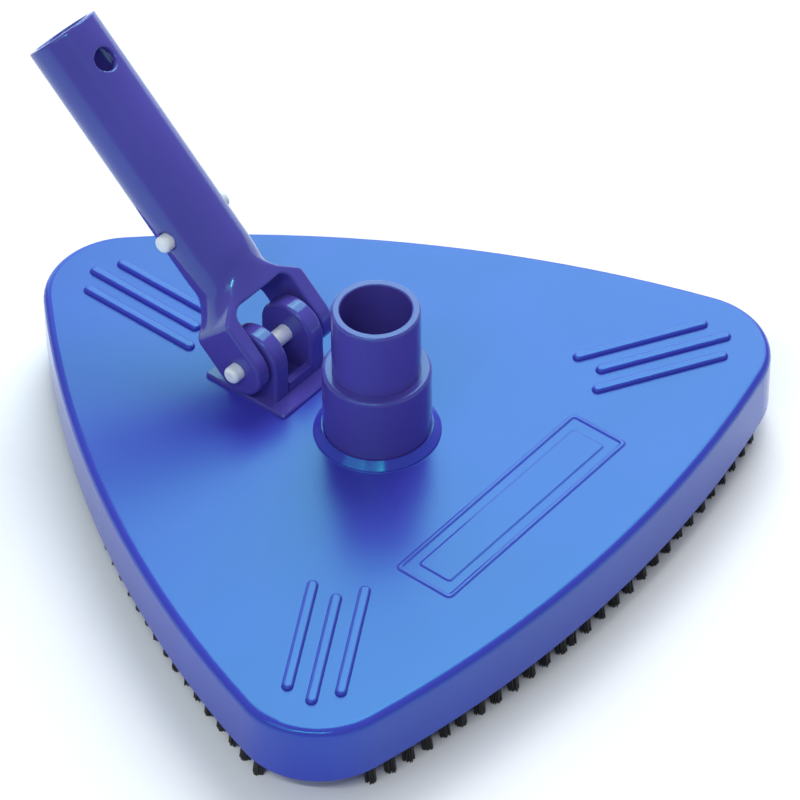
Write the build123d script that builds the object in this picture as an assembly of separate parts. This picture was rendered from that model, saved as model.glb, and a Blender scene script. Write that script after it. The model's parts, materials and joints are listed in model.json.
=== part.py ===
from build123d import *
from math import asin, cos, degrees, radians, sin, sqrt
import os

# Manual pool vacuum head. Millimetres, +Z up. The origin is on the hose axis,
# in the plane of the base plate's underside. -Y is the front side, with the
# blank badge panel; the handle is hinged behind the hose spigot, on +Y.

# Outline of the head from above: three bowed sides and three round corners
SIDE_DISTANCE = 103.0
SIDE_RADIUS = 467.0
CORNER_RADIUS = 31.0
CORNER_ANGLES = (90, 210, 330)
SIDE_TURNS = {"front": 0, "right": 120, "left": 240}

# Shell
SHELL_HEIGHT = 23.5
SHELL_WALL = 2.5
ROOF = 3.0
ROOF_UNDER = SHELL_HEIGHT - ROOF
RIM_ROUND = 3.0

# Raised decoration, which starts a little way down inside the roof
SINK = 0.5
RIB_WIDTH = 4.2
RIB_HEIGHT = 1.4
RIB_ROUND = 1.25
RIB_SPACING = 9.2
RIB_LENGTH = 52.9
OUTER_RIB_START = 78.9
MIDDLE_RIB_START = 84.1
PANEL_SIZE = (101.0, 25.0)
PANEL_CENTRE = (0.0, -61.5)
PANEL_CORNER = 2.2
FRAME_HEIGHT = 0.35
FRAME_WIDTH = 2.2
PLATE_SIZE = (88.0, 14.5)
PLATE_CORNER = 1.6
PLATE_HEIGHT = 0.3
PANEL_SLOPE = 0.8

# Posts under the roof
BASE_BOSS_RADIUS = 4.4
RETAINER_BOSS_RADIUS = 3.2
BAR_POST_RADIUS = 2.2
BAR_POST_ANGLES = (-9, 0, 9)
WEIGHT_POST_RADIUS = 3.0

# Base plate, brushes and weights
PLATE_EDGE_GAP = 0.3
PLATE_THICK = 4.5
TUFT_RADIUS = 2.0
TUFT_PITCH = 8.2
TUFTS_PER_SIDE = 28
TUFT_INSET = 6.0
TUFT_TIP_Z = -12.5
TUFT_HOLE_GAP = 0.15
ROOT_THICK = 1.8
ROOT_OVERHANG = 3.0
BAR_WIDTH = 6.2
BAR_HEIGHT = 3.6
WEIGHT_SIZE = (34.0, 48.0, 10.0)
WEIGHT_RADIAL = 86.0
PEG_SPREAD = 15.0
PEG_RADIUS = 2.4
PEG_HEIGHT = 6.0

# Screws: shank radius, head radius, head height
BASE_SCREW = (1.6, 3.2, 2.0)
BASE_SCREW_LENGTH = 13.0
RETAINER_SCREW = (1.2, 2.4, 1.6)
RETAINER_SCREW_LENGTH = 6.0
BRACKET_SCREW = (1.5, 2.8, 1.8)
BRACKET_SCREW_LENGTH = 12.0
MID_SIDE_SCREW_RADIUS = 84.0
SCREW_GAP = 0.2
HEAD_GAP = 0.3

# Hose spigot, a swivelling fitting held from below by a ring
BORE_RADIUS = 12.7
LOWER_BORE_RADIUS = 16.2
SMALL_HOSE_RADIUS = 15.88
LARGE_HOSE_RADIUS = 19.5
JOURNAL_RADIUS = 19.3
SPIGOT_SHOULDER_Z = SHELL_HEIGHT + 30.2
SPIGOT_TOP_Z = SHELL_HEIGHT + 57.7
SPIGOT_SHOULDER_ROUND = 1.4
SPIGOT_END_ROUND = 1.0
BORE_END_ROUND = 0.7
SWIVEL_GAP = 0.35
FLANGE_RADIUS = 24.0
FLANGE_THICK = 2.0
SEAL_THICK = 1.2
AXIAL_PLAY = 0.2
COLLAR_RADIUS = 22.7
COLLAR_HEIGHT = 3.4
COLLAR_SLOPE = 2.6
COLLAR_FOOT = 0.5
JOURNAL_TOP = SHELL_HEIGHT + COLLAR_HEIGHT + 0.4
RETAINER_THICK = 3.0
RETAINER_RADIUS = 25.5
EAR_RADIUS = 4.2
EAR_CIRCLE = 29.5
THROAT_RADIUS = 20.0
DUCT_RADIUS = 22.6

# Hinge bracket and pivot
PIVOT_Y = 47.6
PIVOT_Z = SHELL_HEIGHT + 15.5
PIN_RADIUS = 3.25
PIN_RUNNING_GAP = 0.08
PIN_HALF_LENGTH = 25.0
PIN_ROUND = 1.6
LUG_RADIUS = 12.0
LUG_INNER = 6.0
LUG_OUTER = 13.5
LUG_ROUND = 1.5
PAD_SIZE = (34.6, 37.2, 1.6)
WEB_THICK = 3.0
WEB_HEIGHT = 6.0
BRACKET_SCREW_OFFSET = 6.6

# Handle, drawn upright about the pivot and then leant back
LEAN = 46.0
ARM_INNER = 14.6
ARM_OUTER = 20.8
ARM_HALF_WIDTH = 10.4
SHOULDER_Z = 16.2
SHOULDER_RISE = 9.4
CROWN_UNDER_Z = 19.2
CROWN_CHAMFER = 2.9
ARM_ROOT_Z = 12.0
CROWN_ROUND = 3.0
TUBE_RADIUS = 14.0
NECK_RADIUS = 13.8
NECK_END_Z = 57.0
TUBE_START_Z = 37.0
TUBE_END_Z = 134.0
TUBE_BORE_RADIUS = 10.9
CROSS_HOLE_RADIUS = 4.5
CROSS_HOLE_Z = 118.0
FLAT_HALF_WIDTH = 14.1
FLAT_BACK = 7.5
FLAT_FRONT = 4.0

# Snap clip inside the handle
BUTTON_Z = 52.0
BUTTON_RADIUS = 3.3
BUTTON_GAP = 0.3
BUTTON_PROUD = 3.4
BUTTON_ROUND = 1.6
CLIP_TIP_Z = 86.0
CLIP_FOOT_Z = 47.0
CLIP_THICK = 1.1
CLIP_WIDTH = 6.0

# Layers of the swivel, from the roof down
FLANGE_TOP = ROOF_UNDER - SEAL_THICK - AXIAL_PLAY
FLANGE_BOTTOM = FLANGE_TOP - FLANGE_THICK
RETAINER_TOP = FLANGE_BOTTOM - AXIAL_PLAY
RETAINER_BOTTOM = RETAINER_TOP - RETAINER_THICK

# The centre of a side's arc and the distance to each corner's centre
SIDE_CENTRE = SIDE_RADIUS - SIDE_DISTANCE
CENTRE_GAP = SIDE_RADIUS - CORNER_RADIUS
CORNER_DISTANCE = (sqrt(4 * CENTRE_GAP**2 - 3 * SIDE_CENTRE**2) - SIDE_CENTRE) / 2
SIDE_HALF_ANGLE = degrees(asin(CORNER_DISTANCE * cos(radians(30)) / CENTRE_GAP))


def tube(outer, inner, low, high):
    ring = Circle(outer) - Circle(inner)
    return Pos(0, 0, low) * extrude(ring, high - low)


def rod(radius, low, high):
    return Pos(0, 0, low) * extrude(Circle(radius), high - low)


def polar(radius, angle):
    return radius * cos(radians(angle)), radius * sin(radians(angle))


def side_point(inset, angle, turn=0):
    """A point beside the front side's arc, angle degrees from its middle, turned about Z."""
    reach = SIDE_RADIUS - inset
    x = reach * sin(radians(angle))
    y = SIDE_CENTRE - reach * cos(radians(angle))
    return Vector(x, y, 0).rotate(Axis.Z, turn)


def outline(inset):
    """The head's outline from above, drawn in by inset."""
    edges = []
    for turn, corner in zip(SIDE_TURNS.values(), (330, 90, 210)):
        start = side_point(inset, -SIDE_HALF_ANGLE, turn)
        middle = side_point(inset, 0, turn)
        end = side_point(inset, SIDE_HALF_ANGLE, turn)
        tip = Vector(*polar(CORNER_DISTANCE + CORNER_RADIUS - inset, corner))
        following = side_point(inset, -SIDE_HALF_ANGLE, turn + 120)
        edges.append(ThreePointArc(start, middle, end))
        edges.append(ThreePointArc(end, tip, following))
    return make_face(edges)


def side_band(near, far, half_angle, turn, low, high):
    """A curved bar that follows one side, from inset near to inset far."""
    a, b, c = (side_point(near, k * half_angle) for k in (-1, 0, 1))
    d, e, f = (side_point(far, k * half_angle) for k in (1, 0, -1))
    face = make_face([ThreePointArc(a, b, c), Line(c, d), ThreePointArc(d, e, f), Line(f, a)])
    return Rot(Z=turn) * Pos(0, 0, low) * extrude(face, high - low)


def tuft_angles():
    step = degrees(TUFT_PITCH / (SIDE_RADIUS - TUFT_INSET))
    return [(k - (TUFTS_PER_SIDE - 1) / 2) * step for k in range(TUFTS_PER_SIDE)]


def brush_half_angle():
    return tuft_angles()[-1] + degrees(ROOT_OVERHANG / SIDE_RADIUS)


def base_screw_places():
    corners = [polar(CORNER_DISTANCE, a) for a in CORNER_ANGLES]
    sides = [polar(MID_SIDE_SCREW_RADIUS, a + 60) for a in CORNER_ANGLES]
    return corners + sides


def retainer_screw_places():
    return [polar(EAR_CIRCLE, a) for a in (30, 150, 270)]


def bracket_screw_places():
    middle = (LUG_INNER + LUG_OUTER) / 2
    rows = (PIVOT_Y - BRACKET_SCREW_OFFSET, PIVOT_Y + BRACKET_SCREW_OFFSET)
    return [(x, y) for x in (-middle, middle) for y in rows]


def screw(size, length):
    """A screw with its head below the origin and its shank above it."""
    shank, head, head_height = size
    body = rod(shank, 0, length) + rod(head, -head_height, 0)
    body = chamfer(body.edges().group_by(Axis.Z)[-1], shank * 0.4)
    body = fillet(body.edges().group_by(Axis.Z)[0], head_height * 0.35)
    recess = Box(head * 1.1, head * 0.28, head_height) + Box(head * 0.28, head * 1.1, head_height)
    return body - Pos(0, 0, -head_height) * recess


def screws(size, length, places, z):
    return Compound([Pos(x, y, z) * screw(size, length) for x, y in places])


def grip_ribs():
    """Three raised bars in line with each corner, the middle one further out."""
    ribs = []
    for angle in CORNER_ANGLES:
        for k in (-1, 0, 1):
            start = MIDDLE_RIB_START if k == 0 else OUTER_RIB_START
            rib = extrude(SlotOverall(RIB_LENGTH, RIB_WIDTH), RIB_HEIGHT + SINK)
            rib = fillet(rib.edges().group_by(Axis.Z)[-1], RIB_ROUND)
            place = Pos(start + RIB_LENGTH / 2, k * RIB_SPACING, SHELL_HEIGHT - SINK)
            ribs.append(Rot(Z=angle) * place * rib)
    return ribs


def raised(shape, height):
    """A low flat-topped pad on the roof, with gently sloping edges."""
    pad = extrude(shape, height + SINK)
    pad = chamfer(pad.edges().group_by(Axis.Z)[-1], height, PANEL_SLOPE)
    return Pos(*PANEL_CENTRE, SHELL_HEIGHT - SINK) * pad


def badge():
    """A raised frame round a raised plate, both plain."""
    length, width = PANEL_SIZE
    inside = RectangleRounded(length - 2 * FRAME_WIDTH, width - 2 * FRAME_WIDTH, 0.9)
    border = RectangleRounded(length, width, PANEL_CORNER) - inside
    plate = RectangleRounded(*PLATE_SIZE, PLATE_CORNER)
    return [raised(border, FRAME_HEIGHT), raised(plate, PLATE_HEIGHT)]


def shell_bosses():
    """Posts under the roof: for the base screws and the retainer, and to hold bars and weights down."""
    top = ROOF_UNDER + 1
    base_boss = rod(BASE_BOSS_RADIUS, PLATE_THICK, top)
    retainer_boss = rod(RETAINER_BOSS_RADIUS, RETAINER_TOP, top)
    bar_post = rod(BAR_POST_RADIUS, PLATE_THICK + BAR_HEIGHT, top)
    weight_post = rod(WEIGHT_POST_RADIUS, PLATE_THICK + WEIGHT_SIZE[2], top)
    bosses = [Pos(x, y) * base_boss for x, y in base_screw_places()]
    bosses += [Pos(x, y) * retainer_boss for x, y in retainer_screw_places()]
    for turn in SIDE_TURNS.values():
        spots = [side_point(TUFT_INSET, angle, turn) for angle in BAR_POST_ANGLES]
        bosses += [Pos(spot.X, spot.Y) * bar_post for spot in spots]
    bosses += [Pos(*polar(WEIGHT_RADIAL, angle)) * weight_post for angle in CORNER_ANGLES]
    return bosses


def top_shell():
    body = extrude(outline(0), SHELL_HEIGHT)
    body = fillet(body.edges().group_by(Axis.Z)[-1], RIM_ROUND)
    body -= extrude(outline(SHELL_WALL), ROOF_UNDER)
    collar = rod(COLLAR_RADIUS, ROOF_UNDER, SHELL_HEIGHT + COLLAR_HEIGHT)
    collar = chamfer(collar.edges().group_by(Axis.Z)[-1], COLLAR_SLOPE)
    body += collar
    circles = body.edges().filter_by(GeomType.CIRCLE)
    foot = circles.filter_by(lambda edge: abs(edge.radius - COLLAR_RADIUS) < 0.01)
    foot = foot.filter_by_position(Axis.Z, SHELL_HEIGHT - 0.01, SHELL_HEIGHT + 0.01)
    body = fillet(foot, COLLAR_FOOT)
    body += [*badge(), *grip_ribs(), *shell_bosses()]
    body -= rod(JOURNAL_RADIUS + SWIVEL_GAP, 0, SPIGOT_TOP_Z)
    pilot = rod(BASE_SCREW[0], 0, PLATE_THICK + BASE_SCREW_LENGTH)
    body -= [Pos(x, y) * pilot for x, y in base_screw_places()]
    short = rod(RETAINER_SCREW[0], 0, RETAINER_BOTTOM + RETAINER_SCREW_LENGTH)
    body -= [Pos(x, y) * short for x, y in retainer_screw_places()]
    passing = rod(BRACKET_SCREW[0] + SCREW_GAP, 0, SHELL_HEIGHT + 1)
    body -= [Pos(x, y) * passing for x, y in bracket_screw_places()]
    return body


def base_plate():
    body = extrude(outline(SHELL_WALL + PLATE_EDGE_GAP), PLATE_THICK)
    body += rod(DUCT_RADIUS, 0, RETAINER_BOTTOM)
    for angle in CORNER_ANGLES:
        for k in (-1, 1):
            peg = rod(PEG_RADIUS, PLATE_THICK, PLATE_THICK + PEG_HEIGHT)
            body += Rot(Z=angle) * Pos(WEIGHT_RADIAL, k * PEG_SPREAD) * peg
    body -= rod(THROAT_RADIUS, 0, RETAINER_BOTTOM)
    hole = rod(TUFT_RADIUS + TUFT_HOLE_GAP, 0, PLATE_THICK)
    for turn in SIDE_TURNS.values():
        spots = [side_point(TUFT_INSET, angle, turn) for angle in tuft_angles()]
        body -= [Pos(p.X, p.Y) * hole for p in spots]
    shank, head, head_height = BASE_SCREW
    seat = head_height + SCREW_GAP
    recess = rod(head + HEAD_GAP, 0, seat) + rod(shank + SCREW_GAP, 0, PLATE_THICK)
    body -= [Pos(x, y) * recess for x, y in base_screw_places()]
    return body


def brush_bar(turn):
    """The grooved backing bar that clamps a row of tufts onto the base plate."""
    top = PLATE_THICK + BAR_HEIGHT
    half = BAR_WIDTH / 2
    bar = side_band(TUFT_INSET - half, TUFT_INSET + half, brush_half_angle(), turn, PLATE_THICK, top)
    groove_half = TUFT_RADIUS + 0.1
    groove_top = PLATE_THICK + ROOT_THICK + 0.1
    groove = side_band(TUFT_INSET - groove_half, TUFT_INSET + groove_half, 20, turn, 0, groove_top)
    return bar - groove


def bristles(turn):
    """One row of tufts on its root strip, which lies on the base plate."""
    root_top = PLATE_THICK + ROOT_THICK
    near, far = TUFT_INSET - TUFT_RADIUS, TUFT_INSET + TUFT_RADIUS
    body = side_band(near, far, brush_half_angle(), turn, PLATE_THICK, root_top)
    tuft = rod(TUFT_RADIUS, TUFT_TIP_Z, root_top - 0.5)
    spots = [side_point(TUFT_INSET, angle, turn) for angle in tuft_angles()]
    return body + [Pos(p.X, p.Y) * tuft for p in spots]


def weight(angle):
    """A steel ballast block with two holes for the base plate's pegs."""
    depth, length, height = WEIGHT_SIZE
    block = Pos(0, 0, PLATE_THICK) * extrude(RectangleRounded(depth, length, 4), height)
    block = chamfer(block.edges().group_by(Axis.Z)[-1], 0.8)
    holes = [Pos(0, k * PEG_SPREAD) * rod(PEG_RADIUS + 0.3, 0, 20) for k in (-1, 1)]
    return Rot(Z=angle) * Pos(WEIGHT_RADIAL, 0) * (block - holes)


def base_screws():
    seat = BASE_SCREW[2] + SCREW_GAP
    return screws(BASE_SCREW, BASE_SCREW_LENGTH, base_screw_places(), seat)


def swivel_retainer():
    body = rod(RETAINER_RADIUS, RETAINER_BOTTOM, RETAINER_TOP)
    body += [Pos(x, y) * rod(EAR_RADIUS, RETAINER_BOTTOM, RETAINER_TOP) for x, y in retainer_screw_places()]
    body -= rod(THROAT_RADIUS + 0.5, 0, SHELL_HEIGHT)
    hole = rod(RETAINER_SCREW[0] + SCREW_GAP, 0, SHELL_HEIGHT)
    return body - [Pos(x, y) * hole for x, y in retainer_screw_places()]


def retainer_screws():
    return screws(RETAINER_SCREW, RETAINER_SCREW_LENGTH, retainer_screw_places(), RETAINER_BOTTOM)


def swivel_seal():
    return tube(FLANGE_RADIUS, JOURNAL_RADIUS + SWIVEL_GAP, ROOF_UNDER - SEAL_THICK, ROOF_UNDER)


def hose_spigot():
    """Two coaxial hose tails, a small one on a large one, over a swivel flange."""
    body = rod(LARGE_HOSE_RADIUS, JOURNAL_TOP, SPIGOT_SHOULDER_Z)
    body = fillet(body.edges().group_by(Axis.Z)[-1], SPIGOT_SHOULDER_ROUND)
    body += rod(SMALL_HOSE_RADIUS, SPIGOT_SHOULDER_Z - 3, SPIGOT_TOP_Z)
    body = fillet(body.edges().group_by(Axis.Z)[-1], SPIGOT_END_ROUND)
    body += rod(JOURNAL_RADIUS, FLANGE_BOTTOM, JOURNAL_TOP) + rod(FLANGE_RADIUS, FLANGE_BOTTOM, FLANGE_TOP)
    body -= rod(BORE_RADIUS, 0, SPIGOT_TOP_Z)
    body = fillet(body.edges().filter_by(GeomType.CIRCLE).group_by(Axis.Z)[-1], BORE_END_ROUND)
    return body - rod(LOWER_BORE_RADIUS, 0, SPIGOT_SHOULDER_Z - 4)


def lug(side):
    low, high = sorted((side * LUG_INNER, side * LUG_OUTER))
    profile = Pos(PIVOT_Y, PIVOT_Z) * Circle(LUG_RADIUS)
    base_height = PIVOT_Z - SHELL_HEIGHT
    profile += Pos(PIVOT_Y, SHELL_HEIGHT + base_height / 2) * Rectangle(2 * LUG_RADIUS, base_height)
    body = extrude(Plane.YZ.offset(low) * profile, high - low)
    rims = body.edges().filter_by(GeomType.CIRCLE)
    return fillet(rims, LUG_ROUND)


def hinge_bracket():
    width, depth, thick = PAD_SIZE
    pad = Pos(0, PIVOT_Y, SHELL_HEIGHT) * extrude(RectangleRounded(width, depth, 1.0), thick)
    pad = chamfer(pad.edges().group_by(Axis.Z)[-1], 0.5)
    web_y = PIVOT_Y - LUG_RADIUS + WEB_THICK / 2
    web = Pos(0, web_y, SHELL_HEIGHT + WEB_HEIGHT / 2) * Box(2 * LUG_INNER, WEB_THICK, WEB_HEIGHT)
    body = pad + lug(-1) + lug(1) + web
    body -= Pos(0, PIVOT_Y, PIVOT_Z) * Rot(Y=90) * rod(PIN_RADIUS, -40, 40)
    pilot = rod(BRACKET_SCREW[0], 0, ROOF_UNDER + BRACKET_SCREW_LENGTH)
    return body - [Pos(x, y) * pilot for x, y in bracket_screw_places()]


def bracket_screws():
    return screws(BRACKET_SCREW, BRACKET_SCREW_LENGTH, bracket_screw_places(), ROOF_UNDER)


def pivot_pin():
    pin = rod(PIN_RADIUS, -PIN_HALF_LENGTH, PIN_HALF_LENGTH)
    ends = pin.edges().group_by(Axis.Z)
    pin = fillet(ends[0] + ends[-1], PIN_ROUND)
    return Pos(0, PIVOT_Y, PIVOT_Z) * Rot(Y=90) * pin


def leant(body):
    """Moves a piece drawn upright about the pivot to its rest place."""
    return Pos(0, PIVOT_Y, PIVOT_Z) * Rot(X=-LEAN) * body


def yoke_arm(side):
    low, high = sorted((side * ARM_INNER, side * ARM_OUTER))
    profile = Circle(ARM_HALF_WIDTH) + Pos(0, SHOULDER_Z / 2) * Rectangle(2 * ARM_HALF_WIDTH, SHOULDER_Z)
    return extrude(Plane.YZ.offset(low) * profile, high - low)


def yoke_crown():
    """The bridge over the two arms, with sloping shoulders and a bevelled mouth."""
    top = SHOULDER_Z + SHOULDER_RISE
    top_half = ARM_OUTER - SHOULDER_RISE
    mouth_half = ARM_INNER - CROWN_CHAMFER
    mouth_side = CROWN_UNDER_Z - CROWN_CHAMFER
    right = [
        (mouth_half, CROWN_UNDER_Z),
        (ARM_INNER, mouth_side),
        (ARM_INNER, ARM_ROOT_Z),
        (ARM_OUTER, ARM_ROOT_Z),
        (ARM_OUTER, SHOULDER_Z),
        (top_half, top),
    ]
    left = [(-x, z) for x, z in reversed(right)]
    profile = make_face(Polyline(*right, *left, close=True))
    shoulders = [p for p in profile.vertices() if abs(p.X) > ARM_INNER + 1 and p.Y > ARM_ROOT_Z + 1]
    profile = fillet(shoulders, CROWN_ROUND)
    return extrude(Plane.XZ * profile, ARM_HALF_WIDTH, both=True)


def yoke_neck():
    """The round neck, flattened front to back where it runs into the crown."""
    foot = Plane.XY.offset(CROWN_UNDER_Z) * Ellipse(NECK_RADIUS, ARM_HALF_WIDTH - 0.1)
    head = Plane.XY.offset(TUBE_START_Z) * Circle(NECK_RADIUS)
    return loft([foot, head]) + rod(NECK_RADIUS, TUBE_START_Z, NECK_END_Z)


def handle_yoke():
    body = yoke_arm(-1) + yoke_arm(1) + yoke_crown() + yoke_neck()
    flat_centre = (FLAT_BACK - FLAT_FRONT) / 2
    flat_low = SHOULDER_Z + SHOULDER_RISE - 1
    flats = Box(2 * FLAT_HALF_WIDTH, FLAT_BACK + FLAT_FRONT, NECK_END_Z - flat_low)
    body += Pos(0, flat_centre, (NECK_END_Z + flat_low) / 2) * flats
    barrel = rod(TUBE_RADIUS, NECK_END_Z, TUBE_END_Z)
    barrel = fillet(barrel.edges().group_by(Axis.Z)[-1], 0.4)
    body += barrel
    body -= rod(TUBE_BORE_RADIUS, 0, TUBE_END_Z)
    body -= Pos(0, 0, CROSS_HOLE_Z) * Rot(X=90) * rod(CROSS_HOLE_RADIUS, -20, 20)
    body -= Pos(0, 0, BUTTON_Z) * Rot(Y=90) * rod(BUTTON_RADIUS + BUTTON_GAP, -20, 20)
    body -= Rot(Y=90) * rod(PIN_RADIUS + PIN_RUNNING_GAP, -40, 40)
    return leant(body)


def clip_foot_x():
    """How far out the clip's legs reach at the height of the buttons' lower edge."""
    return TUBE_BORE_RADIUS - CLIP_THICK


def clip_spring():
    """A V of springy strip, tip up, that pushes both buttons outwards."""
    outer = clip_foot_x()
    inner = outer - CLIP_THICK
    half_tip = CLIP_THICK
    points = [
        (-outer, CLIP_FOOT_Z),
        (-half_tip, CLIP_TIP_Z),
        (half_tip, CLIP_TIP_Z),
        (outer, CLIP_FOOT_Z),
        (inner, CLIP_FOOT_Z),
        (0, CLIP_TIP_Z - 3 * CLIP_THICK),
        (-inner, CLIP_FOOT_Z),
    ]
    strip = make_face(Polyline(*points, close=True))
    return leant(extrude(Plane.XZ * strip, CLIP_WIDTH / 2, both=True))


def clip_button(side):
    start = clip_foot_x()
    end = TUBE_RADIUS + BUTTON_PROUD
    button = rod(BUTTON_RADIUS, start, end)
    button = fillet(button.edges().group_by(Axis.Z)[-1], BUTTON_ROUND)
    return leant(Pos(0, 0, BUTTON_Z) * Rot(Y=90 * side) * button)


def build():
    yield "top_shell", top_shell()
    yield "base_plate", base_plate()
    yield "base_screws", base_screws()
    for name, turn in SIDE_TURNS.items():
        yield f"brush_bar_{name}", brush_bar(turn)
        yield f"bristles_{name}", bristles(turn)
    for name, angle in zip(("rear", "left", "right"), CORNER_ANGLES):
        yield f"weight_{name}", weight(angle)
    yield "swivel_retainer", swivel_retainer()
    yield "retainer_screws", retainer_screws()
    yield "swivel_seal", swivel_seal()
    yield "hose_spigot", hose_spigot()
    yield "hinge_bracket", hinge_bracket()
    yield "bracket_screws", bracket_screws()
    yield "pivot_pin", pivot_pin()
    yield "handle_yoke", handle_yoke()
    yield "clip_spring", clip_spring()
    yield "clip_button_left", clip_button(-1)
    yield "clip_button_right", clip_button(1)


os.makedirs("parts", exist_ok=True)
for node, shape in build():
    shape.label = node
    export_step(shape, f"parts/{node}.step")
    print(node, round(shape.volume), len(shape.solids()))
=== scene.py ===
"""The looks of a manual pool vacuum head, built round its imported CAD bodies. Metres, +Z up."""
import json
from math import cos, pi, radians, sin

import bpy
import numpy as np
from mathutils import Matrix, Vector


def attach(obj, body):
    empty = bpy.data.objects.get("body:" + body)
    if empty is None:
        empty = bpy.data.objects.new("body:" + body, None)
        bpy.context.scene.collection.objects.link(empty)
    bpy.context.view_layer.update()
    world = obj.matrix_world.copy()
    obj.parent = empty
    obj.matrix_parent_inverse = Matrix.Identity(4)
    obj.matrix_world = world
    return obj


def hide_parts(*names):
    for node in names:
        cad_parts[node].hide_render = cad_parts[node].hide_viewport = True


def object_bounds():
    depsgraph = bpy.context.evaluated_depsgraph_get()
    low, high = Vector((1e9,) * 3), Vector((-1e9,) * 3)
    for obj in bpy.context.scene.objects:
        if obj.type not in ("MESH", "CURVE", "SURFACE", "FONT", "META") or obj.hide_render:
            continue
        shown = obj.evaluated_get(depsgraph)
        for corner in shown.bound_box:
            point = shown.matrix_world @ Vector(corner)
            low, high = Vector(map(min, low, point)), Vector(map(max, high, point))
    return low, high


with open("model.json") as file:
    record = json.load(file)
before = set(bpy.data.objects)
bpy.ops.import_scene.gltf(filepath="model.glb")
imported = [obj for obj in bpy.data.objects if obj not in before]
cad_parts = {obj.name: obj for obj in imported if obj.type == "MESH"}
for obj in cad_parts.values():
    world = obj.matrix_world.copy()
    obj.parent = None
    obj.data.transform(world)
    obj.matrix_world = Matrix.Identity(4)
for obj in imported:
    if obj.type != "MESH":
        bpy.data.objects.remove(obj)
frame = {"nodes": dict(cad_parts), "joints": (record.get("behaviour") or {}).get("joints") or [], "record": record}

CAD_BOX = [list(corner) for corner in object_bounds()]
MM = 0.001
RNG = np.random.default_rng(7)

MOUNTS = {mount["name"]: mount for mount in frame["record"]["mounts"]}
JOINTS = {joint["name"]: joint for joint in frame["joints"]}


# ---------------------------------------------------------------- camera, floor and lights

CAMERA_TARGET = Vector((16.79, 3.41, 23.5)) * MM
CAMERA_AZIMUTH = radians(-50.22)
CAMERA_ELEVATION = radians(43.11)
CAMERA_ROLL = radians(-0.64)
CAMERA_DISTANCE = 1848.2 * MM
SENSOR_WIDTH = 36.0
FOCAL_LENGTH = 231.77


def direction(azimuth, elevation):
    """Towards a place at that azimuth and elevation; azimuth 0 is in front, on -Y."""
    flat = cos(elevation)
    return Vector((sin(azimuth) * flat, -cos(azimuth) * flat, sin(elevation)))


def make_camera():
    data = bpy.data.cameras.new("camera")
    camera = bpy.data.objects.new("camera", data)
    bpy.context.scene.collection.objects.link(camera)
    back = direction(CAMERA_AZIMUTH, CAMERA_ELEVATION)
    camera.location = CAMERA_TARGET + back * CAMERA_DISTANCE
    aim = (-back).to_track_quat("-Z", "Y").to_matrix()
    camera.rotation_euler = (aim @ Matrix.Rotation(CAMERA_ROLL, 3, "Z")).to_euler()
    data.sensor_width = SENSOR_WIDTH
    data.lens = FOCAL_LENGTH
    data.clip_start = 0.05
    data.clip_end = 50.0
    bpy.context.scene.camera = camera


def softbox(name, azimuth, elevation, distance, width, height, radiance, colour):
    """A rectangular lamp that faces the object."""
    data = bpy.data.lights.new(name, "AREA")
    data.shape = "RECTANGLE"
    data.size = width
    data.size_y = height
    data.energy = radiance * pi * width * height
    data.color = colour
    lamp = bpy.data.objects.new(name, data)
    bpy.context.scene.collection.objects.link(lamp)
    towards = direction(azimuth, elevation)
    lamp.location = CAMERA_TARGET + towards * distance
    lamp.rotation_euler = towards.to_track_quat("Z", "Y").to_euler()


def make_lights():
    softbox("main_softbox", radians(113), radians(48), 2.4, 1.84, 1.84, 4.3, (1.0, 1.0, 1.0))
    softbox("softbox_core", radians(127), radians(61), 2.3, 0.8, 0.8, 3.5, (1.0, 1.0, 1.0))
    softbox("backdrop_card", radians(136), radians(18), 2.4, 3.0, 1.4, 1.9, (0.42, 0.8, 1.0))
    softbox("fill_softbox", radians(-95), radians(42), 1.8, 0.9, 0.9, 1.9, (0.72, 0.9, 1.0))
    softbox("strip_lamp", radians(-62), radians(50), 1.9, 1.0, 0.05, 60.0, (1.0, 1.0, 1.0))
    world = bpy.data.worlds.new("studio")
    bpy.context.scene.world = world
    world.use_nodes = True
    background = world.node_tree.nodes["Background"]
    background.inputs["Color"].default_value = (0.92, 0.96, 1.0, 1.0)
    background.inputs["Strength"].default_value = 0.33


def make_floor():
    """A large pale disc just under the brushes."""
    rings, segments, reach = 24, 96, 14.0
    level = CAD_BOX[0][2] - 0.02 * MM
    points = [(0.0, 0.0, level)]
    for ring in range(1, rings + 1):
        radius = reach * (ring / rings) ** 3
        for k in range(segments):
            angle = 2 * pi * k / segments
            points.append((radius * cos(angle), radius * sin(angle), level))
    faces = [(0, 1 + k, 1 + (k + 1) % segments) for k in range(segments)]
    for ring in range(rings - 1):
        inner = 1 + ring * segments
        outer = inner + segments
        for k in range(segments):
            after = (k + 1) % segments
            faces.append((inner + k, outer + k, outer + after, inner + after))
    mesh = bpy.data.meshes.new("floor")
    mesh.from_pydata(points, [], faces)
    floor = bpy.data.objects.new("floor", mesh)
    bpy.context.scene.collection.objects.link(floor)
    mesh.materials.append(floor_paper())


# ---------------------------------------------------------------- materials


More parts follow.
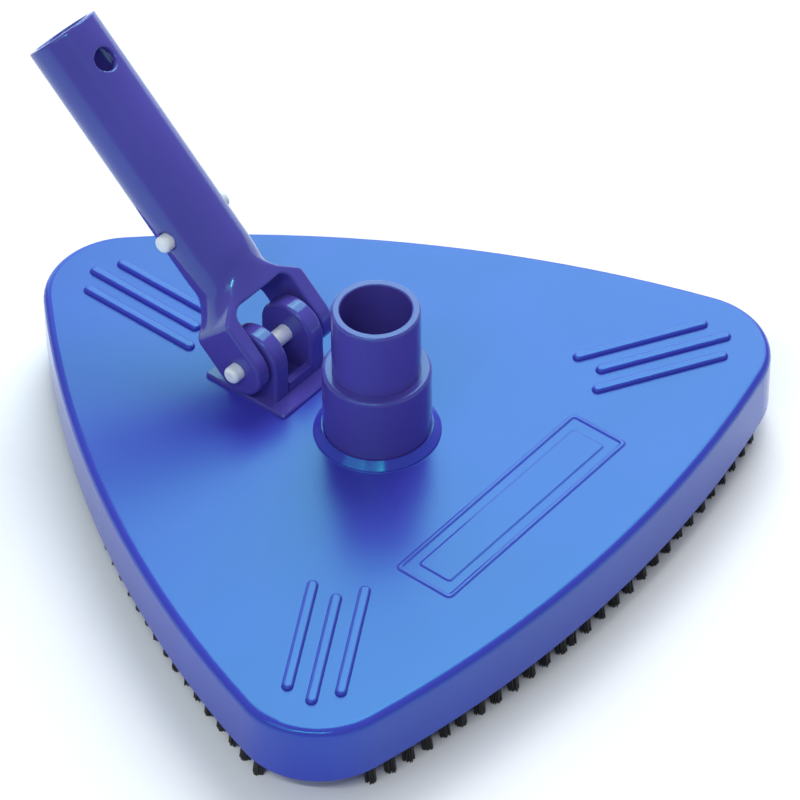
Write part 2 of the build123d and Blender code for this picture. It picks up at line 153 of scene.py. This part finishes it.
class Nodes:
    """A short way to write one material's node tree."""

    def __init__(self, name):
        self.material = bpy.data.materials.new(name)
        self.material.use_nodes = True
        self.tree = self.material.node_tree
        self.shader = self.tree.nodes["Principled BSDF"]
        self.output = self.tree.nodes["Material Output"]

    def add(self, kind, inputs=None, **settings):
        node = self.tree.nodes.new("ShaderNode" + kind)
        for key, value in settings.items():
            setattr(node, key, value)
        for key, value in (inputs or {}).items():
            self.feed(value, node.inputs[key])
        return node

    def feed(self, value, socket):
        if isinstance(value, bpy.types.NodeSocket):
            self.tree.links.new(value, socket)
        else:
            socket.default_value = value

    def shade(self, **sockets):
        for name, value in sockets.items():
            self.feed(value, self.shader.inputs[name.replace("_", " ")])

    def place(self, scale=(1000.0, 1000.0, 1000.0)):
        """Object coordinates in millimetres, stretched by scale / 1000."""
        spot = self.add("TexCoord").outputs["Object"]
        return self.add("Mapping", {"Vector": spot, "Scale": scale}).outputs["Vector"]

    def noise(self, where, scale, detail=3.0, roughness=0.5):
        inputs = {"Vector": where, "Scale": scale, "Detail": detail, "Roughness": roughness}
        return self.add("TexNoise", inputs).outputs["Fac"]

    def remap(self, value, low, high, to_low, to_high):
        inputs = {"Value": value, "From Min": low, "From Max": high}
        inputs |= {"To Min": to_low, "To Max": to_high}
        return self.add("MapRange", inputs).outputs["Result"]

    def math(self, operation, a, b):
        return self.add("Math", {0: a, 1: b}, operation=operation).outputs[0]

    def mix(self, share, a, b, blend="MIX"):
        node = self.add("Mix", data_type="RGBA", blend_type=blend)
        self.feed(share, node.inputs["Factor"])
        self.feed(a, node.inputs["A"])
        self.feed(b, node.inputs["B"])
        return node.outputs["Result"]

    def bump(self, height, depth, strength=1.0, under=None):
        inputs = {"Height": height, "Distance": depth, "Strength": strength}
        if under is not None:
            inputs["Normal"] = under
        return self.add("Bump", inputs).outputs["Normal"]


def rgba(colour, factor=1.0):
    return (*(min(1.0, c * factor) for c in colour), 1.0)


# how far under and over a satin face its finish fades in and out, in millimetres
SATIN_FROM = (-0.35, -0.08)
SATIN_TO = (0.45, 0.8)


def moulded_plastic(name, colour, tint, rough, flat_z=None, flat_rough=0.0, grain=0.006, peel=0.012):
    """Injection-moulded plastic: slow flow shades, faint orange peel, fine grain and pigment specks.

    Faces at the height flat_z, in metres, have a satin finish of their own, flat_rough."""
    n = Nodes(name)
    where = n.place()
    flow = n.noise(n.place((1000.0, 1500.0, 700.0)), 0.02, 2.0, 0.4)
    body = n.mix(flow, rgba(colour, 0.88), rgba(colour, 1.12))
    speck = n.noise(where, 2.6, 1.0, 0.5)
    body = n.mix(n.remap(speck, 0.55, 1.0, 0.0, 0.5), body, rgba(colour, 0.75))
    gloss = n.remap(n.noise(where, 0.06, 2.0, 0.4), 0.0, 1.0, 0.8 * rough, 1.2 * rough)
    if flat_z is not None:
        height = n.add("SeparateXYZ", {0: where}).outputs["Z"]
        above = n.math("SUBTRACT", height, flat_z / MM)
        over = n.remap(above, *SATIN_FROM, 0.0, 1.0)
        under = n.remap(above, *SATIN_TO, 1.0, 0.0)
        satin = n.math("MULTIPLY", over, under)
        gloss = n.add("Mix", {0: satin, 2: gloss, 3: flat_rough}).outputs[0]
    normal = n.bump(n.noise(where, 0.3, 1.0, 0.4), peel * MM, 1.0)
    normal = n.bump(n.noise(where, 1.5, 2.0, 0.5), grain * MM, 1.0, normal)
    n.shade(Base_Color=body, Roughness=gloss, Normal=normal)
    n.shade(Specular_Tint=(*tint, 1.0), IOR=1.5)
    return n.material


def nylon():
    n = Nodes("natural_nylon")
    where = n.place()
    cloud = n.noise(where, 0.35, 3.0, 0.5)
    body = n.mix(n.remap(cloud, 0.3, 0.7, 0.0, 1.0), (0.70, 0.78, 0.84, 1.0), (0.80, 0.86, 0.90, 1.0))
    normal = n.bump(n.noise(where, 2.2, 3.0, 0.6), 0.01 * MM, 1.0)
    gloss = n.remap(cloud, 0.3, 0.7, 0.3, 0.45)
    n.shade(Base_Color=body, Roughness=gloss, Normal=normal)
    n.shade(Subsurface_Weight=0.15, Subsurface_Radius=(1.0, 1.0, 1.0), Subsurface_Scale=0.6 * MM)
    return n.material


# how much of a filament's tip is paler, in millimetres
WORN_LENGTH = 1.4


def filament():
    """Black nylon filament: each one a little different, paler at worn tips."""
    n = Nodes("black_filament")
    where = n.place()
    cell = n.noise(where, 1.6, 1.0, 0.5)
    dark, pale = (0.006, 0.006, 0.007, 1.0), (0.02, 0.02, 0.022, 1.0)
    body = n.mix(n.remap(cell, 0.3, 0.7, 0.0, 1.0), dark, pale)
    height = n.add("SeparateXYZ", {0: where}).outputs["Z"]
    tip = n.remap(height, TUFT_TIP_Z / MM + WORN_LENGTH, TUFT_TIP_Z / MM, 0.0, 0.35)
    body = n.mix(tip, body, (0.05, 0.05, 0.05, 1.0))
    streak = n.noise(n.place((5000.0, 5000.0, 300.0)), 1.0, 2.0, 0.5)
    n.shade(Base_Color=body, Roughness=n.remap(streak, 0.3, 0.7, 0.32, 0.5))
    n.shade(Normal=n.bump(streak, 0.01 * MM, 0.6))
    return n.material


def brushed_metal(name, colour, rough, grain_scale):
    n = Nodes(name)
    streak = n.noise(n.place(grain_scale), 1.0, 4.0, 0.6)
    cloud = n.noise(n.place(), 0.25, 3.0, 0.55)
    body = n.mix(n.remap(cloud, 0.3, 0.7, 0.0, 1.0), rgba(colour, 0.85), rgba(colour, 1.1))
    gloss = n.remap(streak, 0.3, 0.7, rough[0], rough[1])
    n.shade(Base_Color=body, Roughness=gloss, Normal=n.bump(streak, 0.01 * MM, 0.5), Metallic=1.0)
    return n.material


def matte_coat(name, colour, rough, grain):
    n = Nodes(name)
    where = n.place()
    cloud = n.noise(where, 0.12, 4.0, 0.6)
    grit = n.noise(where, 1.8, 4.0, 0.65)
    body = n.mix(n.remap(cloud, 0.3, 0.7, 0.0, 1.0), rgba(colour, 0.8), rgba(colour, 1.25))
    n.shade(Base_Color=body, Roughness=n.remap(grit, 0.3, 0.7, rough[0], rough[1]))
    n.shade(Normal=n.bump(grit, grain * MM, 1.0))
    return n.material


def floor_paper():
    """Pale paper that is clear from below."""
    n = Nodes("pale_paper")
    where = n.place()
    cloud = n.noise(where, 0.01, 4.0, 0.6)
    body = n.mix(n.remap(cloud, 0.3, 0.7, 0.0, 1.0), (0.90, 0.925, 0.94, 1.0), (0.92, 0.945, 0.96, 1.0))
    n.shade(Base_Color=body, Roughness=0.9, Specular_IOR_Level=0.1)
    clear = n.add("BsdfTransparent").outputs[0]
    back = n.add("NewGeometry").outputs["Backfacing"]
    both = n.add("MixShader", {0: back, 1: n.shader.outputs[0], 2: clear})
    n.feed(both.outputs[0], n.output.inputs["Surface"])
    return n.material


def dress(node, material):
    """Gives a CAD node its one material."""
    thing = frame["nodes"][node]
    thing.data.materials.clear()
    thing.data.materials.append(material)


# ---------------------------------------------------------------- bristles

TUFT_TIP_Z = CAD_BOX[0][2]
FILAMENTS_PER_TUFT = 54
FILAMENT_RADIUS = 0.27 * MM
FILAMENT_SIDES = 5
TUFT_ROOT_Z = 1.2 * MM
TUFT_SPREAD = 0.14
TUFT_LEAN = (0.03, 0.08)
TUFT_REACH = 5 * MM
LENGTH_SPREAD = 0.12 * MM


def tuft_centres(node):
    """The middles of a CAD row's tufts where they meet the floor, and a tuft's radius."""
    points = np.array([v.co for v in frame["nodes"][node].data.vertices])
    tips = points[points[:, 2] < TUFT_TIP_Z + 0.01 * MM]
    centres = []
    while len(tips):
        near = np.linalg.norm(tips[:, :2] - tips[0, :2], axis=1) < TUFT_REACH
        low, high = tips[near, :2].min(0), tips[near, :2].max(0)
        centres.append((low + high) / 2)
        tips = tips[~near]
    radius = (high - low).max() / 2
    return sorted(centres, key=lambda c: (round(c[0], 5), round(c[1], 5))), radius


def filament_mesh(centre, radius, outward):
    """One tuft: filaments packed in a sunflower pattern, spreading a little towards their tips."""
    points, faces = [], []
    lean = outward * RNG.uniform(*TUFT_LEAN) + RNG.normal(0, 0.02, 2)
    golden = pi * (3 - 5 ** 0.5)
    levels = np.array([0.0, 0.45, 0.8, 0.97, 1.0])
    girth = np.array([1.0, 1.0, 1.05, 1.05, 0.85])
    turn = np.arange(FILAMENT_SIDES) * 2 * pi / FILAMENT_SIDES
    for k in range(FILAMENTS_PER_TUFT):
        share = ((k + 0.5) / FILAMENTS_PER_TUFT) ** 0.5
        angle = k * golden + RNG.normal(0, 0.12)
        spot = np.array((cos(angle), sin(angle))) * share * (radius - FILAMENT_RADIUS)
        tip = TUFT_TIP_Z + abs(RNG.normal(0, LENGTH_SPREAD))
        length = TUFT_ROOT_Z - tip
        drift = spot * TUFT_SPREAD + (lean + RNG.normal(0, 0.012, 2)) * length
        base = len(points)
        for level, size in zip(levels, girth):
            middle = centre + spot + drift * level ** 1.6
            z = TUFT_ROOT_Z - length * level
            for a in turn + angle:
                r = FILAMENT_RADIUS * size
                points.append((middle[0] + r * cos(a), middle[1] + r * sin(a), z))
        for ring in range(len(levels) - 1):
            for s in range(FILAMENT_SIDES):
                a = base + ring * FILAMENT_SIDES + s
                b = base + ring * FILAMENT_SIDES + (s + 1) % FILAMENT_SIDES
                faces.append((a, b, b + FILAMENT_SIDES, a + FILAMENT_SIDES))
        last = base + (len(levels) - 1) * FILAMENT_SIDES
        faces.append(tuple(last + s for s in range(FILAMENT_SIDES)))
        faces.append(tuple(base + s for s in reversed(range(FILAMENT_SIDES))))
    return points, faces


def make_piece(name, points, faces, material, body, smooth=True):
    mesh = bpy.data.meshes.new(name)
    mesh.from_pydata(points, [], faces)
    mesh.validate()
    mesh.materials.append(material)
    mesh.polygons.foreach_set("use_smooth", [smooth] * len(mesh.polygons))
    piece = bpy.data.objects.new(name, mesh)
    bpy.context.scene.collection.objects.link(piece)
    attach(piece, body)
    return piece


def make_bristles(material):
    for side in ("front", "right", "left"):
        centres, radius = tuft_centres("bristles_" + side)
        outward = np.mean(centres, axis=0)
        outward = outward / np.linalg.norm(outward)
        points, faces = [], []
        for centre in centres:
            more_points, more_faces = filament_mesh(centre, radius, outward)
            shift = len(points)
            points += more_points
            faces += [tuple(i + shift for i in face) for face in more_faces]
        piece = make_piece("tufts_" + side, points, faces, material, "head")
        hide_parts("bristles_" + side)


# ---------------------------------------------------------------- handle

PIVOT = Vector(JOINTS["handle_tilt"]["pos_m"])
POLE = MOUNTS["pole_handle"]
HANDLE_AXIS = Vector(POLE["axis"])
TUBE_RADIUS = POLE["dims"]["r_mm"] * MM
TUBE_END = max((v.co - PIVOT).dot(HANDLE_AXIS) for v in frame["nodes"]["handle_yoke"].data.vertices)
CROSS_HOLE = MOUNTS["handle_cross_hole"]
CROSS_HOLE_RADIUS = CROSS_HOLE["dims"]["r_mm"] * MM
CROSS_HOLE_W = (Vector(CROSS_HOLE["pos_m"]) - PIVOT).dot(HANDLE_AXIS)
TUBE_BORE = 10.9 * MM
TUBE_BORE_START = 37 * MM
BUTTON_W = 52 * MM
BUTTON_HOLE = 3.6 * MM
PIN_HOLE = 3.33 * MM
ARM_OUTER = 20.8 * MM
ARM_INNER = 14.6 * MM
ARM_HALF_WIDTH = 10.4 * MM
SHOULDER_W = 16.2 * MM
SHOULDER_SLOPE = 0.755
CROWN_UNDER_W = 19.2 * MM
CROWN_CHAMFER = 2.9 * MM
NECK_START_W = 17 * MM
NECK_END_W = 38 * MM
EDGE_ROUND = 1.1 * MM
FRONT_BLEND = 4.0 * MM
BACK_BLEND = 6.5 * MM
TUBE_END_ROUND = 0.7 * MM
SHOULDER_ROUND = 1.4 * MM
MOUTH_CORNER_ROUND = 1.0 * MM
MOUTH_EDGE_ROUND = 0.8 * MM
BORE_EDGE_ROUND = 0.5 * MM
CROSS_EDGE_ROUND = 0.35 * MM
SMALL_EDGE_ROUND = 0.3 * MM
CELL = 0.62 * MM


def round_union(a, b, k):
    """The nearer of two distances, with a round hollow of size k where they meet."""
    reach = np.sqrt(np.maximum(k - a, 0) ** 2 + np.maximum(k - b, 0) ** 2)
    return np.maximum(k, np.minimum(a, b)) - reach


def round_both(a, b, k):
    """The further of two distances, with a rounded edge of size k."""
    reach = np.sqrt(np.maximum(k + a, 0) ** 2 + np.maximum(k + b, 0) ** 2)
    return np.minimum(-k, np.maximum(a, b)) + reach


def smooth_step(t):
    t = np.clip(t, 0, 1)
    return t * t * (3 - 2 * t)


def handle_distance(x, v, w):
    """The handle's rough signed distance: x across, w along it from the pivot, v across both."""
    ax = np.abs(x)
    # the tube, which flattens front to back as it runs down into the crown
    along = smooth_step((w - NECK_START_W) / (NECK_END_W - NECK_START_W))
    depth = ARM_HALF_WIDTH + (TUBE_RADIUS - ARM_HALF_WIDTH) * along
    squeeze = TUBE_RADIUS / depth
    radial = (np.sqrt(ax**2 + (v * squeeze) ** 2) - TUBE_RADIUS) / np.sqrt(squeeze)
    neck = round_both(radial, w - TUBE_END, TUBE_END_ROUND)
    neck = np.maximum(neck, CROWN_UNDER_W - w)
    # the fork: two arms with round ends under sloping shoulders
    arm_end = np.sqrt(v**2 + np.minimum(w, 0) ** 2) - ARM_HALF_WIDTH
    slope = (SHOULDER_SLOPE * (ax - ARM_OUTER) + w - SHOULDER_W) / np.hypot(SHOULDER_SLOPE, 1)
    side = round_both(ax - ARM_OUTER, slope, SHOULDER_ROUND)
    fork = round_both(side, arm_end, EDGE_ROUND)
    blend = FRONT_BLEND + (BACK_BLEND - FRONT_BLEND) * smooth_step(v / (2 * ARM_HALF_WIDTH) + 0.5)
    solid = round_union(neck, fork, blend)
    bevel = (ax + w - ARM_INNER - CROWN_UNDER_W + CROWN_CHAMFER) / np.sqrt(2)
    gap = np.maximum(ax - ARM_INNER, w - CROWN_UNDER_W)
    mouth = round_both(gap, bevel, MOUTH_CORNER_ROUND)
    solid = round_both(solid, -mouth, MOUTH_EDGE_ROUND)
    # the tube's bore, the cross hole, the button holes and the pin hole
    bore = np.maximum(np.sqrt(x**2 + v**2) - TUBE_BORE, TUBE_BORE_START - w)
    solid = round_both(solid, -bore, BORE_EDGE_ROUND)
    cross = np.sqrt(x**2 + (w - CROSS_HOLE_W) ** 2) - CROSS_HOLE_RADIUS
    solid = round_both(solid, -cross, CROSS_EDGE_ROUND)
    button = np.sqrt(v**2 + (w - BUTTON_W) ** 2) - BUTTON_HOLE
    solid = round_both(solid, -button, SMALL_EDGE_ROUND)
    pin = np.sqrt(v**2 + w**2) - PIN_HOLE
    return round_both(solid, -pin, SMALL_EDGE_ROUND)


def surface_of(distance, low, high, cell):
    """A closed quad mesh on the zero of distance(x, y, z), one point to each cell that it crosses."""
    axes = [np.arange(a, b + cell, cell) for a, b in zip(low, high)]
    grid = distance(*np.meshgrid(*axes, indexing="ij"))
    inside = grid < 0
    corners = [(i, j, k) for i in (0, 1) for j in (0, 1) for k in (0, 1)]
    shape = [n - 1 for n in inside.shape]

    def part(array, offset):
        return array[tuple(slice(o, o + n) for o, n in zip(offset, shape))]

    count = sum(part(inside, c).astype(int) for c in corners)
    crossed = (count > 0) & (count < 8)
    index = np.full(shape, -1)
    index[crossed] = np.arange(crossed.sum())
    total, weight = np.zeros((*shape, 3)), np.zeros(shape)
    for a in corners:
        for axis in range(3):
            if a[axis]:
                continue
            b = tuple(c + (i == axis) for i, c in enumerate(a))
            ga, gb = part(grid, a), part(grid, b)
            cut = (ga < 0) != (gb < 0)
            share = np.where(cut, ga / np.where(cut, ga - gb, 1), 0)
            spot = np.zeros((*shape, 3)) + np.array(a)
            spot[..., axis] += share
            total += spot * cut[..., None]
            weight += cut
    cells = np.argwhere(crossed)
    points = cells + total[crossed] / weight[crossed][:, None]
    points = np.array(low) + points * cell
    faces = []
    for axis in range(3):
        u, w = (axis + 1) % 3, (axis + 2) % 3
        ahead = np.roll(inside, -1, axis)
        change = inside != ahead
        edge = np.argwhere(change)
        good = (edge[:, u] > 0) & (edge[:, w] > 0) & (edge[:, axis] < shape[axis])
        good &= (edge[:, u] < shape[u]) & (edge[:, w] < shape[w])
        edge = edge[good]
        step_u, step_w = np.eye(3, dtype=int)[u], np.eye(3, dtype=int)[w]
        round_edge = (step_u + step_w, step_w, 0 * step_u, step_u)
        quad = np.stack([index[tuple((edge - s).T)] for s in round_edge], 1)
        flip = ~inside[tuple(edge.T)]
        quad[flip] = quad[flip][:, ::-1]
        faces.append(quad)
    faces = np.concatenate(faces)
    for _ in range(4):
        points = pull_to_surface(distance, points, cell)
    return points, faces[(faces >= 0).all(1)]


def pull_to_surface(distance, points, cell):
    """Moves each point down the gradient on to the zero of distance, by at most half a cell."""
    here = distance(*points.T)
    step = 0.02 * cell
    slope = np.stack([distance(*(points + step * e).T) - here for e in np.eye(3)], 1) / step
    size = np.maximum((slope**2).sum(1), 1e-6)
    move = -(here / size)[:, None] * slope
    far = np.linalg.norm(move, axis=1, keepdims=True)
    return points + move * np.minimum(1, 0.5 * cell / np.maximum(far, 1e-12))


def make_handle(material):
    low = (-ARM_OUTER - 2 * CELL, -TUBE_RADIUS - 2 * CELL, -ARM_HALF_WIDTH - 2 * CELL)
    high = (ARM_OUTER + 2 * CELL, TUBE_RADIUS + 2 * CELL, TUBE_END + 2 * CELL)
    points, faces = surface_of(handle_distance, low, high, CELL)
    across = Vector((1, 0, 0))
    leant = np.array([across, HANDLE_AXIS.cross(across), HANDLE_AXIS])
    points = points @ leant + np.array(PIVOT)
    piece = make_piece("handle_moulding", points.tolist(), faces.tolist(), material, "handle")
    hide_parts("handle_yoke")


# ---------------------------------------------------------------- the whole scene

ROOF_Z = 23.5 * MM


def dress_nodes():
    shell = moulded_plastic(
        "shell_plastic", (0.048, 0.048, 0.44), (0.03, 1.0, 1.0), 0.15, flat_z=ROOF_Z, flat_rough=0.27
    )
    fitting = moulded_plastic("fitting_plastic", (0.076, 0.059, 0.35), (0.2, 0.97, 1.0), 0.13)
    plate = moulded_plastic("plate_plastic", (0.05, 0.06, 0.40), (0.5, 0.9, 1.0), 0.42, grain=0.012)
    black = matte_coat("black_bar_plastic", (0.02, 0.02, 0.022), (0.45, 0.6), 0.02)
    steel = brushed_metal("screw_steel", (0.62, 0.63, 0.64), (0.22, 0.38), (300.0, 300.0, 3000.0))
    ballast = matte_coat("ballast_coating", (0.16, 0.17, 0.18), (0.55, 0.7), 0.05)
    rubber = matte_coat("seal_rubber", (0.016, 0.016, 0.017), (0.6, 0.75), 0.03)
    white = nylon()
    finishes = {
        "top_shell": shell,
        "base_plate": plate,
        "base_screws": steel,
        "swivel_retainer": plate,
        "retainer_screws": steel,
        "swivel_seal": rubber,
        "hose_spigot": fitting,
        "hinge_bracket": fitting,
        "bracket_screws": steel,
        "pivot_pin": white,
        "clip_spring": steel,
        "clip_button_left": white,
        "clip_button_right": white,
    }
    for side in ("front", "right", "left"):
        finishes["brush_bar_" + side] = black
    for place in ("rear", "left", "right"):
        finishes["weight_" + place] = ballast
    for node, material in finishes.items():
        dress(node, material)
    return fitting


def main():
    bpy.context.scene.view_settings.view_transform = "Standard"
    make_camera()
    make_lights()
    make_floor()
    fitting = dress_nodes()
    make_handle(fitting)
    make_bristles(filament())


main()
